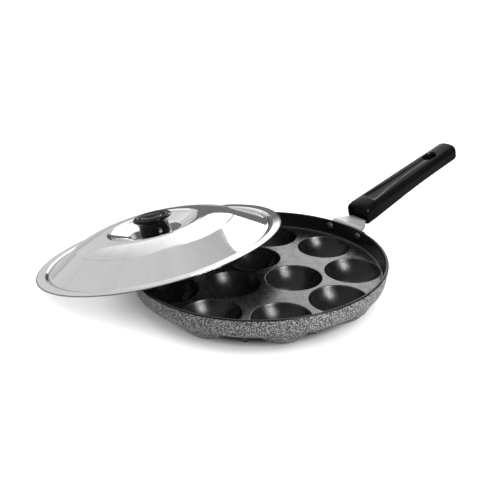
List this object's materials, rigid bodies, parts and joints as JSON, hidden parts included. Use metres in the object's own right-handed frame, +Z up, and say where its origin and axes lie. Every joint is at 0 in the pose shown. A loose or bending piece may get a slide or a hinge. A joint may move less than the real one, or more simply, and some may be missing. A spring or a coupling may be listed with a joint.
{
  "type": "paniyaram pan",
  "caption": "Round cast pan with a ring and a cluster of hemispherical cooking cavities, a riveted side handle with a grip, and a loose domed steel lid with a knob leaning on its rim.",
  "frame": {"origin": "on the table, below the middle of the whole object's box", "axes": "+X along the handle, away from the pan; +Z up"},
  "size_m": [0.4354, 0.334, 0.0863],
  "materials": {
    "pan_coating": "cast aluminium, dark non-stick coat inside and grey hammered coat outside",
    "bracket_metal": "bright pressed steel",
    "rivet_metal": "coated with the pan",
    "grip_plastic": "satin black moulding",
    "lid_steel": "polished stainless steel",
    "knob_plastic": "gloss black moulding",
    "insert_brass": "plain turned",
    "fastener_steel": "plated"
  },
  "bodies": {
    "pan": {"pan_body": "pan_coating", "handle_bracket": "bracket_metal", "bracket_rivet_1": "rivet_metal", "bracket_rivet_2": "rivet_metal", "handle_grip": "grip_plastic", "handle_screw": "fastener_steel", "handle_washer": "fastener_steel", "handle_nut": "fastener_steel"},
    "lid": {"lid_shell": "lid_steel", "lid_knob": "knob_plastic", "knob_insert": "insert_brass", "knob_screw": "fastener_steel", "knob_washer": "fastener_steel"}
  },
  "joints": [
    {"name": "lid_lift", "type": "slide", "parent": "pan", "child": "lid", "axis": [0, 0, 1], "range_m": [0, 0.15]}
  ]
}
